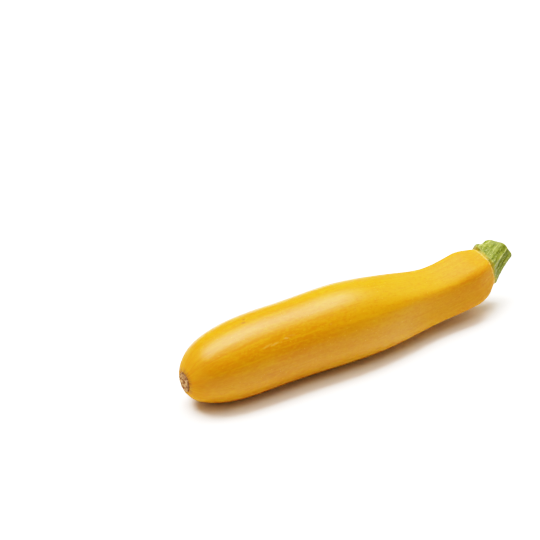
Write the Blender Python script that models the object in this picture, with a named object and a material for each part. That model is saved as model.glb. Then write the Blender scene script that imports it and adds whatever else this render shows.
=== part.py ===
"""A yellow zucchini as picked, lying on its belly: the fruit, its cut stem and its blossom scar.

Metres, +Z up, with the surface that it lies on at z = 0. The design is laid out in millimetres
from the blossom end, with +X along the fruit towards the stem and +Y across it. An empty then
moves the three pieces so that the origin lies under the middle of the whole part.
"""

import math

import bmesh
import bpy
import numpy as np

MM = 0.001

# The fruit: distance from the blossom end, radius, height of the middle, sideways offset
STATIONS = (
    (0.0, 19.9, 17.4, -1.9),
    (8.0, 20.4, 18.4, -1.6),
    (20.0, 20.7, 19.1, -1.1),
    (45.0, 21.2, 20.4, -0.2),
    (70.0, 21.4, 20.7, 0.0),
    (95.0, 22.0, 21.0, -0.2),
    (115.0, 21.1, 20.4, -0.2),
    (135.0, 18.4, 20.1, 0.1),
    (155.0, 15.9, 19.4, 1.1),
    (175.0, 16.1, 20.9, 2.2),
    (194.4, 16.5, 24.6, 3.05),
)
FRUIT_LENGTH = STATIONS[-1][0]
NOSE_LENGTH, NOSE_FULLNESS = 43.0, 2.5
SHOULDER_LENGTH, SHOULDER_FULLNESS = 23.3, 1.7
NOSE_TURN_LENGTH = 20.0
PRESS_SOFTNESS = 0.25

# Five low ridges run along the fruit and grow towards the stem
RIDGES = 5
RIDGE_ANGLE = math.radians(42)
RIDGE_AT_NOSE, RIDGE_AT_STEM = 0.005, 0.026
RIDGE_START, RIDGE_SPAN = 0.35, 0.6

# The hollows in the fruit's two ends, and what sits in them
GAP = 0.3
HOLLOW_DEPTH = 1.0
NOSE_RIM_RADIUS, NOSE_HOLLOW_RADIUS = 5.8, 5.5
SEAT_RIM_RADIUS, SEAT_HOLLOW_RADIUS = 11.6, 11.1

# The stem: places along it from 0 at the root to 1 at the cut, and its radius there
STEM_PLACES = (0.0, 0.2, 0.4, 0.6, 0.8, 1.0)
STEM_RADII = (10.8, 10.9, 9.7, 9.0, 8.8, 8.7)
STEM_REACH = (16.6, 5.3, 5.9)
STEM_BEND = 6.7
CUT_NORMAL = (0.78, 0.41, 0.47)
TURN_START = 0.1

# Its five ribs, with a finer one in each furrow between them
RIB_ANGLE_AT_ROOT, RIB_ANGLE_AT_CUT = math.radians(38), math.radians(57)
RIB_DEPTH, FINE_RIB_HEIGHT, RIBS_FULL_AT = 0.16, 0.035, 0.35

# The ribs stand on feet, and one side of the stem flares out
FOOT_START, FOOT_PLACE, FOOT_SPREAD, FOOT_SWELL = 0.07, 0.18, 0.24, 0.075
FLARE_PLACE, FLARE_SPREAD, FLARE_SWELL = 0.49, 0.30, 0.36
FLARE_ANGLE, FLARE_NARROWNESS = math.radians(144), 1.5

# The blossom scar: rings from the middle of its back to the middle of its face, as radius and
# distance in front of the blossom end, and how much of the crinkle each ring takes
SCAR_RINGS = (
    (2.4, -0.7, 0.0),
    (5.2, -0.7, 0.0),
    (5.2, 0.1, 0.0),
    (4.9, 0.5, 1.0),
    (4.2, 0.45, 0.8),
    (3.1, 0.15, 0.6),
    (1.6, 0.3, 0.5),
)
SCAR_FOLDS, SCAR_FOLD_HEIGHT = 9, 0.18
SCAR_SKEW_FOLDS, SCAR_SKEW_HEIGHT = 4, 0.08

# Where the part's origin is, from the blossom end's own middle line: along and across
ORIGIN = (107.3, 0.0)

FRUIT_RINGS, FRUIT_SIDES = 56, 50
RING_CROWDING = 0.11
STEM_RINGS, STEM_SIDES = 15, 60
STEM_CROWDING = 1.4
SCAR_SIDES = 36

SKIN_COLOUR, SKIN_ROUGHNESS = (0.78, 0.33, 0.012, 1.0), 0.38
STEM_COLOUR, STEM_ROUGHNESS = (0.17, 0.26, 0.045, 1.0), 0.62
SCAR_COLOUR, SCAR_ROUGHNESS = (0.42, 0.24, 0.10, 1.0), 0.85
CREASE_ANGLE = math.radians(50)


def smooth_step(t):
    """0 below 0, 1 above 1 and an even S between them."""
    t = np.clip(t, 0.0, 1.0)
    return t * t * (3.0 - 2.0 * t)


def natural_spline(knots, values, x):
    """The natural cubic spline through (knots, values), read at x."""
    knots, values = np.asarray(knots, float), np.asarray(values, float)
    step = np.diff(knots)
    slope = np.diff(values) / step
    count = len(knots)
    system, right = np.eye(count), np.zeros(count)
    for i in range(1, count - 1):
        system[i, i - 1 : i + 2] = step[i - 1], 2.0 * (step[i - 1] + step[i]), step[i]
        right[i] = 6.0 * (slope[i] - slope[i - 1])
    bend = np.linalg.solve(system, right)
    i = np.clip(np.searchsorted(knots, x) - 1, 0, count - 2)
    t = x - knots[i]
    start = slope[i] - step[i] * (2.0 * bend[i] + bend[i + 1]) / 6.0
    return values[i] + t * (start + t * (bend[i] / 2.0 + t * (bend[i + 1] - bend[i]) / (6.0 * step[i])))


def end_rounding(distance, length, fullness, first):
    """How full the body is at a distance from its end: first at the end itself, 1 from length on."""
    cut = length * (1.0 - (1.0 - first**fullness) ** (1.0 / fullness))
    t = np.clip((distance + cut) / length, 0.0, 1.0)
    return (1.0 - (1.0 - t) ** fullness) ** (1.0 / fullness)


def unit(vectors):
    """The same directions at length 1."""
    return vectors / np.linalg.norm(vectors, axis=-1, keepdims=True)


def square_axes(direction):
    """The level direction and the upward direction square to a direction along the piece."""
    level = unit(np.cross((0.0, 0.0, 1.0), direction))
    return level, np.cross(direction, level)


def ring_points(middle, direction, radii, angles):
    """Points round the middle. Angle 0 faces -Y and a quarter turn faces up."""
    level, up = square_axes(direction)
    round_middle = np.sin(angles)[:, None] * up - np.cos(angles)[:, None] * level
    return np.asarray(middle) + np.asarray(radii)[..., None] * round_middle


def even_angles(sides):
    """Angles of a ring's points, a full turn in equal steps."""
    return np.arange(sides) * (2.0 * math.pi / sides)


def station_values(column, x):
    """A column of STATIONS read at distances x from the blossom end."""
    table = np.array(STATIONS)
    return natural_spline(table[:, 0], table[:, column], x)


def fruit_middle(x):
    """The middle of the fruit's section at a distance from the blossom end."""
    return np.stack([x, station_values(3, x), station_values(2, x)], axis=-1)


def fruit_direction(x, reach=0.5):
    """The direction of the fruit's middle line, turned to face straight ahead at the blossom end."""
    ahead = fruit_middle(np.minimum(x + reach, FRUIT_LENGTH))
    behind = fruit_middle(np.maximum(x - reach, 0.0))
    direction = unit(ahead - behind)
    turn = smooth_step(x / NOSE_TURN_LENGTH)[..., None]
    return unit(direction * turn + np.array((1.0, 0.0, 0.0)) * (1.0 - turn))


def fruit_radius(x):
    """The fruit's mean radius, rounded off to the rims at both ends."""
    radius = station_values(1, x)
    nose = NOSE_RIM_RADIUS / STATIONS[0][1]
    seat = SEAT_RIM_RADIUS / STATIONS[-1][1]
    radius = radius * end_rounding(x, NOSE_LENGTH, NOSE_FULLNESS, nose)
    return radius * end_rounding(FRUIT_LENGTH - x, SHOULDER_LENGTH, SHOULDER_FULLNESS, seat)


def ridge_height(x, angles):
    """The share that the five ridges add to the radius, and their furrows take away."""
    growth = smooth_step((x / FRUIT_LENGTH - RIDGE_START) / RIDGE_SPAN)
    height = RIDGE_AT_NOSE + (RIDGE_AT_STEM - RIDGE_AT_NOSE) * growth
    return height * np.cos(RIDGES * (angles - RIDGE_ANGLE))


def press_flat(points):
    """Presses what would be below the surface flat on it, with a soft edge round the spot."""
    z = points[:, 2]
    edge = (z + PRESS_SOFTNESS) ** 2 / (4.0 * PRESS_SOFTNESS)
    points[:, 2] = np.where(z > PRESS_SOFTNESS, z, np.where(z < -PRESS_SOFTNESS, 0.0, edge))
    return points


def hollow_rings(middle, direction, radius, inward, sides):
    """The mouth and the floor of a round hollow in an end of the fruit, mouth first."""
    angles = even_angles(sides)
    floor = middle + inward * HOLLOW_DEPTH * direction
    return [ring_points(place, direction, np.full(sides, radius), angles) for place in (middle, floor)]


def fruit_rings():
    """The fruit from the floor of the blossom hollow, over the skin, to the floor of the stem's seat."""
    t = np.linspace(0.0, 1.0, FRUIT_RINGS)
    places = FRUIT_LENGTH * (t - RING_CROWDING * np.sin(2.0 * math.pi * t))
    angles = even_angles(FRUIT_SIDES)
    middles, directions, radii = fruit_middle(places), fruit_direction(places), fruit_radius(places)
    skin = []
    for x, middle, direction, radius in zip(places, middles, directions, radii):
        ring = ring_points(middle, direction, radius * (1.0 + ridge_height(x, angles)), angles)
        skin.append(press_flat(ring))
    nose = hollow_rings(middles[0], directions[0], NOSE_HOLLOW_RADIUS, 1.0, FRUIT_SIDES)
    seat = hollow_rings(middles[-1], directions[-1], SEAT_HOLLOW_RADIUS, -1.0, FRUIT_SIDES)
    return nose[::-1] + skin + seat


def stem_line(places):
    """Middles along the stem's bent line, and directions that turn from the seat's to the cut's."""
    end = np.array([FRUIT_LENGTH])
    out = fruit_direction(end)[0]
    root = fruit_middle(end)[0] - (HOLLOW_DEPTH - GAP) * out
    bend, tip = root + STEM_BEND * out, root + np.array(STEM_REACH)
    s = places[:, None]
    middles = (1.0 - s) ** 2 * root + 2.0 * s * (1.0 - s) * bend + s**2 * tip
    turn = smooth_step((s - TURN_START) / (1.0 - TURN_START))
    return middles, unit(out * (1.0 - turn) + unit(np.array(CUT_NORMAL)) * turn)


def bump(place, middle, spread):
    """A smooth bump along the stem, 1 at its middle."""
    return np.exp(-(((place - middle) / spread) ** 2))


def stem_radius(place, angles):
    """The stem's radius round one ring, with its ribs, their feet and the flare at one side."""
    radius = natural_spline(STEM_PLACES, STEM_RADII, place)
    turn = smooth_step(place)
    turned = angles - (RIB_ANGLE_AT_ROOT + (RIB_ANGLE_AT_CUT - RIB_ANGLE_AT_ROOT) * turn)
    crest = 0.5 + 0.5 * np.cos(RIDGES * turned)
    fine = FINE_RIB_HEIGHT * (0.5 + 0.5 * np.cos(2 * RIDGES * turned))
    furrow = smooth_step(place / RIBS_FULL_AT) * (1.0 - crest) * (fine - RIB_DEPTH)
    foot = FOOT_SWELL * bump(place, FOOT_PLACE, FOOT_SPREAD) * crest
    side = (0.5 + 0.5 * np.cos(angles - FLARE_ANGLE)) ** FLARE_NARROWNESS
    flare = FLARE_SWELL * bump(place, FLARE_PLACE, FLARE_SPREAD) * side
    clear = smooth_step((place - FOOT_START) / (FOOT_PLACE - FOOT_START))
    return radius * (1.0 + furrow + clear * (foot + flare))


def stem_rings():
    """The stem from its root in the seat to its flat cut face."""
    places = np.linspace(0.0, 1.0, STEM_RINGS) ** STEM_CROWDING
    angles = even_angles(STEM_SIDES)
    middles, directions = stem_line(places)
    rings = []
    for place, middle, direction in zip(places, middles, directions):
        rings.append(ring_points(middle, direction, stem_radius(place, angles), angles))
    return rings


def scar_rings():
    """The scar from its back in the hollow, over its crinkled rim, to its dished middle."""
    start = np.array([0.0])
    middle, direction = fruit_middle(start)[0], fruit_direction(start)[0]
    angles = even_angles(SCAR_SIDES)
    folds = SCAR_FOLD_HEIGHT * np.cos(SCAR_FOLDS * angles)
    folds = folds + SCAR_SKEW_HEIGHT * np.sin(SCAR_SKEW_FOLDS * angles)
    rings = []
    for radius, proud, crinkle in SCAR_RINGS:
        ring = ring_points(middle, direction, np.full(SCAR_SIDES, radius), angles)
        rings.append(ring - (proud + crinkle * folds)[:, None] * direction)
    return rings[::-1]


def close_end(bm, ring, outward):
    """Closes an end ring with triangles to a point in its middle."""
    middle = bm.verts.new(sum((vert.co for vert in ring), start=ring[0].co * 0.0) / len(ring))
    for here, there in zip(ring, ring[1:] + ring[:1]):
        corners = (here, there, middle) if outward else (there, here, middle)
        bm.faces.new(corners)


def skin_over(name, rings, colour, roughness, parent):
    """One closed body over the rings, in the order given, as an object with its own material."""
    bm = bmesh.new()
    loops = [[bm.verts.new(point * MM) for point in ring] for ring in rings]
    for lower, upper in zip(loops, loops[1:]):
        for i, vert in enumerate(lower):
            j = (i + 1) % len(lower)
            bm.faces.new((vert, lower[j], upper[j], upper[i]))
    close_end(bm, loops[0], outward=False)
    close_end(bm, loops[-1], outward=True)
    bmesh.ops.recalc_face_normals(bm, faces=bm.faces)
    mesh = bpy.data.meshes.new(name)
    bm.to_mesh(mesh)
    bm.free()
    mesh.shade_smooth()
    mesh.set_sharp_from_angle(angle=CREASE_ANGLE)
    mesh.materials.append(plain_material(name, colour, roughness))
    piece = bpy.data.objects.new(name, mesh)
    bpy.context.scene.collection.objects.link(piece)
    piece.parent = parent
    return piece


def plain_material(name, colour, roughness):
    """A Principled material with the piece's colour and roughness."""
    material = bpy.data.materials.new(name)
    material.use_nodes = True
    shader = material.node_tree.nodes["Principled BSDF"]
    shader.inputs["Base Color"].default_value = colour
    shader.inputs["Roughness"].default_value = roughness
    shader.inputs["Metallic"].default_value = 0.0
    return material


def clear_scene():
    """Removes whatever the file holds."""
    for item in list(bpy.data.objects):
        bpy.data.objects.remove(item)


def footprint_origin():
    """The empty that puts the part's origin on the surface under the middle of the part."""
    empty = bpy.data.objects.new("zucchini", None)
    bpy.context.scene.collection.objects.link(empty)
    empty.location = (-ORIGIN[0] * MM, -ORIGIN[1] * MM, 0.0)
    return empty


def main():
    """Builds the three pieces of the zucchini."""
    clear_scene()
    origin = footprint_origin()
    skin_over("fruit", fruit_rings(), SKIN_COLOUR, SKIN_ROUGHNESS, origin)
    skin_over("stem", stem_rings(), STEM_COLOUR, STEM_ROUGHNESS, origin)
    skin_over("blossom_scar", scar_rings(), SCAR_COLOUR, SCAR_ROUGHNESS, origin)


main()
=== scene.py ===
"""The looks of the yellow zucchini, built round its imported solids.

Finer pieces stand for the three solids: the fruit with its waxy skin, the ribbed cut stem with its short
stiff hairs, and the corky blossom scar. Their forms are laid out in millimetres from the blossom end, with +X
along the fruit towards the stem, as in the part's source, and moved to the part's own origin at the end. A
Step says where a mask starts, where it is full and how strong it is there.
"""

import logging
import math
from dataclasses import dataclass
from enum import Enum
from functools import cached_property, reduce
from typing import Callable, Iterable, Optional, Sequence, Union

import bpy
import numpy as np
from mathutils import Matrix, Vector, noise

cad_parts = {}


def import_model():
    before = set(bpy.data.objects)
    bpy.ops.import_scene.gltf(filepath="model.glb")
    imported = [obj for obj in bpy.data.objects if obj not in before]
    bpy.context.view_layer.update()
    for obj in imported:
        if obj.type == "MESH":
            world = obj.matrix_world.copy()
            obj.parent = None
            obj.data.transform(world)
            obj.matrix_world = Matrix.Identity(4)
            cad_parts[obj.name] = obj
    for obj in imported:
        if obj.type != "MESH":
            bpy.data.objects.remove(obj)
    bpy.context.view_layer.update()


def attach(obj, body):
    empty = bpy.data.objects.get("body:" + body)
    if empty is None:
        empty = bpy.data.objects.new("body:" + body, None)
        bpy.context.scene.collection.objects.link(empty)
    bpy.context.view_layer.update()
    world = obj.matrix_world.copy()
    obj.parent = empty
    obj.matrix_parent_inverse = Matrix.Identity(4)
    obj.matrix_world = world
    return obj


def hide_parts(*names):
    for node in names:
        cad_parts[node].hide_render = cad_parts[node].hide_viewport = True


Array = np.ndarray
Body = bpy.types.Object
Material = bpy.types.Material
Span = tuple[float, float]
Triple = tuple[float, float, float]
Colour = Triple
Step = Triple
Row = tuple[float, ...]
Waves = tuple[tuple[int, float, float], ...]
Faces = list[tuple[int, ...]]
Plug = Union["Wire", float, Sequence[float]]
Key = Union[int, str]

MM = 0.001
FULL_TURN = 2.0 * math.pi
ORIGIN = np.array((107.3, 0.0, 0.0))
BODY = "root"
GRAIN = "grain_mm"
LIFT = "lift_mm"
AHEAD = np.array((1.0, 0.0, 0.0))
MIX_UNDER, MIX_OVER, MIX_RESULT = 6, 7, 2

log = logging.getLogger("zucchini")


def smooth_step(t: Array) -> Array:
    """0 below 0, 1 above 1 and an even S between them."""
    t = np.clip(t, 0.0, 1.0)
    return t * t * (3.0 - 2.0 * t)


def rise(x: Array, start: float, end: float = 1.0) -> Array:
    """An even S from 0 at start to 1 at end; start may be above end."""
    return smooth_step((x - start) / (end - start))


def wave(turned: Array, sharpness: float = 1.0) -> Array:
    """Waves between 0 and 1, with crests that are narrower the sharper they are."""
    return (0.5 + 0.5 * np.cos(turned)) ** sharpness


def unit(vectors: Array) -> Array:
    """The same directions at length 1."""
    return vectors / np.linalg.norm(vectors, axis=-1, keepdims=True)


def even_angles(sides: int) -> Array:
    """Angles of a ring's points, a full turn in equal steps."""
    return np.arange(sides) * (FULL_TURN / sides)


def square_axes(direction: Array) -> tuple[Array, Array]:
    """The level direction and the upward direction square to directions along a piece."""
    level = unit(np.cross((0.0, 0.0, 1.0), direction))
    return level, np.cross(direction, level)


def ring_grid(middles: Array, directions: Array, radii: Array, angles: Array) -> Array:
    """Points round a row of middles. Angle 0 faces -Y and a quarter turn faces up.

    Args:
        middles: The middle of each ring, in millimetres.
        directions: The direction that each ring is square to, or one for all.
        radii: A radius for each ring and angle.
        angles: The angles round a ring.

    Returns:
        The points, by ring, angle and axis.
    """
    level, up = square_axes(directions)
    outward = np.sin(angles)[:, None] * up[..., None, :] - np.cos(angles)[:, None] * level[..., None, :]
    return middles[:, None] + radii[..., None] * outward


@dataclass(frozen=True)
class Pattern:
    """Noise on a piece, with its length along the grain and its width across it in millimetres.

    Its place is the part of the noise that shows, and its layers are the finer ones that a finish adds.
    """

    length: float
    width: float
    place: float
    layers: float = 2.0

    @property
    def sizes(self) -> Triple:
        """Its sizes along the grain, across it and up."""
        return self.length, self.width, self.width

    def on(self, points: Array) -> Array:
        """The pattern at points, between about -1 and 1 and without the finer layers."""
        places = (points / np.array(self.sizes) + self.place).reshape(-1, 3)
        return np.array([noise.noise(spot) for spot in places.tolist()]).reshape(points.shape[:-1])


@dataclass(frozen=True)
class Swell:
    """A smooth swell along a line, with its height, the place of its top and its spread to either side."""

    height: float
    place: float
    spread: float

    def __call__(self, t: Array) -> Array:
        """The swell at places t."""
        return self.height * np.exp(-(((t - self.place) / self.spread) ** 2))


@dataclass(frozen=True)
class Spline:
    """A natural cubic spline through knots and values."""

    knots: Row
    values: Row

    def __call__(self, x: Array) -> Array:
        """Reads the spline.

        Args:
            x: Where it is read.

        Returns:
            Its value at each x.
        """
        knots, values = np.array(self.knots), np.array(self.values)
        step = np.diff(knots)
        slope = np.diff(values) / step
        count = len(knots)
        system, right = np.eye(count), np.zeros(count)
        for i in range(1, count - 1):
            system[i, i - 1 : i + 2] = step[i - 1], 2.0 * (step[i - 1] + step[i]), step[i]
            right[i] = 6.0 * (slope[i] - slope[i - 1])
        bend = np.linalg.solve(system, right)
        i = np.clip(np.searchsorted(knots, x) - 1, 0, count - 2)
        t = x - knots[i]
        start = slope[i] - step[i] * (2.0 * bend[i] + bend[i + 1]) / 6.0
        return values[i] + t * (start + t * (bend[i] / 2.0 + t * (bend[i + 1] - bend[i]) / (6.0 * step[i])))


@dataclass(frozen=True)
class EndRounding:
    """How an end of the fruit closes in, down to the rim of its hollow."""

    length: float
    fullness: float

    def share(self, distance: Array, first: float) -> Array:
        """How full the body is near its end.

        Args:
            distance: Distances from the end.
            first: The share at the end itself.

        Returns:
            The share of the radius at each distance, 1 from the rounding's length on.
        """
        cut = self.length * (1.0 - (1.0 - first**self.fullness) ** (1.0 / self.fullness))
        t = np.clip((distance + cut) / self.length, 0.0, 1.0)
        return (1.0 - (1.0 - t) ** self.fullness) ** (1.0 / self.fullness)


@dataclass(frozen=True)
class FruitForm:
    """The fruit's form in millimetres, the same as its solid's."""

    places: Row = (0.0, 8.0, 20.0, 45.0, 70.0, 95.0, 115.0, 135.0, 155.0, 175.0, 194.4)
    radii: Row = (19.9, 20.4, 20.7, 21.2, 21.4, 22.0, 21.1, 18.4, 15.9, 16.1, 16.5)
    heights: Row = (17.4, 18.4, 19.1, 20.4, 20.7, 21.0, 20.4, 20.1, 19.4, 20.9, 24.6)
    sides: Row = (-1.9, -1.6, -1.1, -0.2, 0.0, -0.2, -0.2, 0.1, 1.1, 2.2, 3.05)
    nose: EndRounding = EndRounding(43.0, 2.5)
    shoulder: EndRounding = EndRounding(23.3, 1.7)
    nose_turn_length: float = 20.0
    nose_rim: float = 5.8
    seat_rim: float = 11.6
    press_softness: float = 0.25
    grain_radius: float = 20.0
    ridges: int = 5
    ridge_angle: float = math.radians(42)
    ridge_at_nose: float = 0.005
    ridge_at_stem: float = 0.026
    ridge_growth: Span = (0.35, 0.95)
    near: float = 0.5

    @property
    def length(self) -> float:
        """The fruit's length without its scar."""
        return self.places[-1]

    def middle(self, x: Array) -> Array:
        """The middle of the sections at distances x from the blossom end."""
        return np.stack([x, Spline(self.places, self.sides)(x), Spline(self.places, self.heights)(x)], axis=-1)

    def direction(self, x: Array) -> Array:
        """The direction of the middle line, turned to face straight ahead at the blossom end.

        Args:
            x: Distances from the blossom end.

        Returns:
            A direction for each.
        """
        before, beyond = np.maximum(x - self.near, 0.0), np.minimum(x + self.near, self.length)
        turn = rise(x, 0.0, self.nose_turn_length)[..., None]
        return unit(unit(self.middle(beyond) - self.middle(before)) * turn + AHEAD * (1.0 - turn))

    def spot(self, place: float) -> tuple[Array, Array]:
        """The middle and the direction at one distance from the blossom end."""
        at = np.array([place])
        return self.middle(at)[0], self.direction(at)[0]

    def radius(self, x: Array) -> Array:
        """The mean radius at distances x, rounded off to the rims at both ends."""
        body = Spline(self.places, self.radii)(x) * self.nose.share(x, self.nose_rim / self.radii[0])
        return body * self.shoulder.share(self.length - x, self.seat_rim / self.radii[-1])

    def ridge_share(self, x: Array, angles: Array) -> Array:
        """What the five ridges add to the radius.

        Args:
            x: Distances from the blossom end.
            angles: Angles round the fruit.

        Returns:
            The share of the radius that is added, by place and angle.
        """
        growth = rise(x / self.length, *self.ridge_growth)
        height = self.ridge_at_nose + (self.ridge_at_stem - self.ridge_at_nose) * growth
        return height[:, None] * np.cos(self.ridges * (angles - self.ridge_angle))[None]

    def press_flat(self, points: Array) -> Array:
        """Presses what would be below the surface flat on it, with a soft edge round the spot.

        Args:
            points: Points by ring, angle and axis, which are changed.

        Returns:
            The same points.
        """
        z, soft = points[..., 2], self.press_softness
        edge = (z + soft) ** 2 / (4.0 * soft)
        points[..., 2] = np.where(z > soft, z, np.where(z < -soft, 0.0, edge))
        return points


class Scale(Enum):
    """The patterns of the skin's relief, from its soft swells to its pores."""

    SWELL = Pattern(34.0, 13.0, 3.7)
    CORD = Pattern(60.0, 3.2, 11.2)
    FIBRE = Pattern(26.0, 1.3, 29.4)
    PEEL = Pattern(1.7, 1.3, 47.1)


@dataclass(frozen=True)
class Blemish:
    """A small mark on the skin, where it rubbed or healed.

    Its place is the distance along the fruit in millimetres and the angle round it in degrees; its size is half
    its length and half its width, and its slant turns its length away from the fruit's.
    """

    along: float
    around: float
    half_length: float
    half_width: float
    slant: float
    strength: float
    lift: float
    depth: float = 3.0

    def sizes(self, margin: float = 0.0) -> Triple:
        """Its half length and half width, with a margin round them, and how deep it counts."""
        return self.half_length + margin, self.half_width + margin, self.depth

    def frame(self, radius: float) -> Matrix:
        """The mark's own axes on the straightened fruit.

        Args:
            radius: The straightened fruit's radius.

        Returns:
            The mark's place, with axes along it, across it and outward.
        """
        turn = math.radians(self.around)
        outward = Vector((0.0, -math.cos(turn), math.sin(turn)))
        ahead = Matrix.Rotation(math.radians(self.slant), 3, outward) @ Vector(AHEAD)
        axes = Matrix((ahead, outward.cross(ahead), outward)).transposed()
        return Matrix.Translation(Vector((self.along, 0.0, 0.0)) + outward * radius) @ axes.to_4x4()


SCRATCHES = (
    Blemish(40.8, 39.6, 3.3, 0.65, 8.0, 0.40, 0.05),
    Blemish(45.2, 38.8, 2.8, 0.6, 4.0, 0.60, 0.06),
    Blemish(49.1, 38.2, 0.6, 0.4, 0.0, 0.35, 0.03),
    Blemish(52.3, 41.0, 1.7, 0.6, -12.0, 0.75, 0.07),
    Blemish(56.0, 42.4, 2.6, 0.4, -14.0, 0.30, 0.04),
    Blemish(79.8, 39.8, 0.8, 0.5, 0.0, 0.35, 0.04),
    Blemish(131.0, 236.0, 5.5, 0.6, 6.0, 0.8, 0.06),
    Blemish(62.0, 205.0, 3.0, 0.7, -20.0, 0.7, 0.06),
)
SCABS = (
    Blemish(38.6, 96.0, 1.15, 0.75, 10.0, 1.0, -0.05),
    Blemish(37.0, 89.6, 1.4, 0.85, -8.0, 1.0, -0.05),
    Blemish(96.2, 51.8, 1.9, 0.4, 62.0, 0.22, -0.02),
    Blemish(108.5, -22.5, 1.8, 0.6, 12.0, 0.7, -0.04),
    Blemish(166.2, 12.2, 0.7, 0.5, 0.0, 0.6, -0.03),
    Blemish(88.0, 165.0, 0.9, 0.7, 30.0, 0.75, -0.05),
    Blemish(24.0, 250.0, 1.1, 0.6, 0.0, 0.6, -0.04),
)


@dataclass(frozen=True)
class SkinRelief:
    """What the fruit's skin adds to its form, in millimetres of lift."""

    heights: tuple[tuple[Scale, float], ...] = (
        (Scale.SWELL, 0.16), (Scale.CORD, 0.05), (Scale.FIBRE, 0.022), (Scale.PEEL, 0.012),
    )
    calm_share: float = 0.25
    calm_reach: Span = (6.0, 4.0)
    facet: float = 1.5
    facet_middle: float = 0.5
    facet_settling: Triple = (0.0, -0.5, -0.866)
    facet_edge: float = 0.10
    facet_reach: Span = (92.0, 147.0)
    facet_rim: float = 6.5
    nose_end: Span = (30.0, 20.0)
    pucker: float = 0.42
    pucker_reach: float = 4.2
    pucker_folds: Waves = ((11, 0.3, 0.45), (17, 1.9, 0.35), (29, 4.1, 0.3))
    lip: Swell = Swell(0.24, 1.5, 1.0)
    furrow: float = 0.35
    furrow_reach: float = 8.0
    rim_width: float = 2.5
    rim_folds: Waves = ((13, 0.8, 0.5), (23, 2.6, 0.5))
    rim_fold_depth: float = 0.12
    rim_fold_reach: float = 3.0
    mark_margin: float = 0.3
    mark_fall: float = 1.5

    @staticmethod
    def folds(angles: Array, waves: Waves) -> Array:
        """Uneven creases round the fruit, 0 on a crest and 1 in a crease."""
        total = sum(share * np.cos(count * angles + start) for count, start, share in waves)
        return smooth_step(0.5 - 0.5 * total)

    def facet_growth(self, form: FruitForm, x: Array) -> Array:
        """How far the five flat faces have grown along the fruit, gone again at the rim of the seat."""
        return rise(x, *self.facet_reach) * rise(form.length - x, 0.0, self.facet_rim)

    def settle(self, form: FruitForm, x: Array) -> Array:
        """How far the faces move the middle down and to the front, so that the fruit keeps its outline."""
        fall = self.facet_growth(form, x)[:, None] * (self.facet_middle * self.facet)
        return fall * np.array(self.facet_settling)

    def facet_share(self, form: FruitForm, angles: Array) -> Array:
        """The rise from the flat faces between the ridges to the ridges.

        Args:
            form: The fruit's form.
            angles: Angles round it.

        Returns:
            The share of the rise by angle, 0 in a face's middle and 1 on a ridge.
        """
        half = math.pi / form.ridges
        from_ridge = np.abs((angles - form.ridge_angle + half) % (2.0 * half) - half)
        from_face = half - np.sqrt(from_ridge**2 + self.facet_edge**2)
        return (1.0 / np.cos(from_face) - 1.0) / (1.0 / math.cos(half) - 1.0)

    def lift(self, form: FruitForm, x: Array, angles: Array, grain: Array) -> Array:
        """The lift over the whole skin.

        Args:
            form: The fruit's form.
            x: Distances along the fruit.
            angles: Angles round it.
            grain: The straightened fruit's points, by place and angle.

        Returns:
            The lift by place and angle, in millimetres.
        """
        lift = sum(height * scale.value.on(grain) for scale, height in self.heights)
        nose_calm, seat_calm = self.calm_reach
        inside = smooth_step(np.minimum(x / nose_calm, (form.length - x) / seat_calm))[:, None]
        lift = lift * (self.calm_share + (1.0 - self.calm_share) * inside)
        from_scar = (form.radius(x) - form.nose_rim)[:, None]
        at_nose = rise(x, *self.nose_end)[:, None]
        crease = self.folds(angles, self.pucker_folds)[None]
        lift = lift - at_nose * self.pucker * crease * np.exp(-from_scar / self.pucker_reach)
        lift = lift + at_nose * self.lip(from_scar)
        facets = self.facet_share(form, angles)[None] - self.facet_middle
        lift = lift + self.facet * self.facet_growth(form, x)[:, None] * facets
        from_seat = (form.length - x)[:, None]
        valley = 1.0 - wave(form.ridges * (angles - form.ridge_angle))[None]
        away = rise(from_seat, 0.0, self.rim_width)
        lift = lift - self.furrow * away * valley * np.exp(-from_seat / self.furrow_reach)
        folds = self.folds(angles, self.rim_folds)[None]
        lift = lift - self.rim_fold_depth * folds * np.exp(-from_seat / self.rim_fold_reach)
        for mark in SCRATCHES + SCABS:
            lift = lift + mark.lift * self.mark_share(mark, form, grain)
        return lift

    def mark_share(self, mark: Blemish, form: FruitForm, grain: Array) -> Array:
        """How much of a mark's lift each point of the skin takes.

        Args:
            mark: The mark.
            form: The fruit's form.
            grain: The straightened fruit's points.

        Returns:
            The share at each point, 1 in the mark's middle.
        """
        into = np.array(mark.frame(form.grain_radius).inverted())
        local = grain @ into[:3, :3].T + into[:3, 3]
        return np.exp(-self.mark_fall * ((local / np.array(mark.sizes(self.mark_margin))) ** 2).sum(axis=-1))


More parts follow.
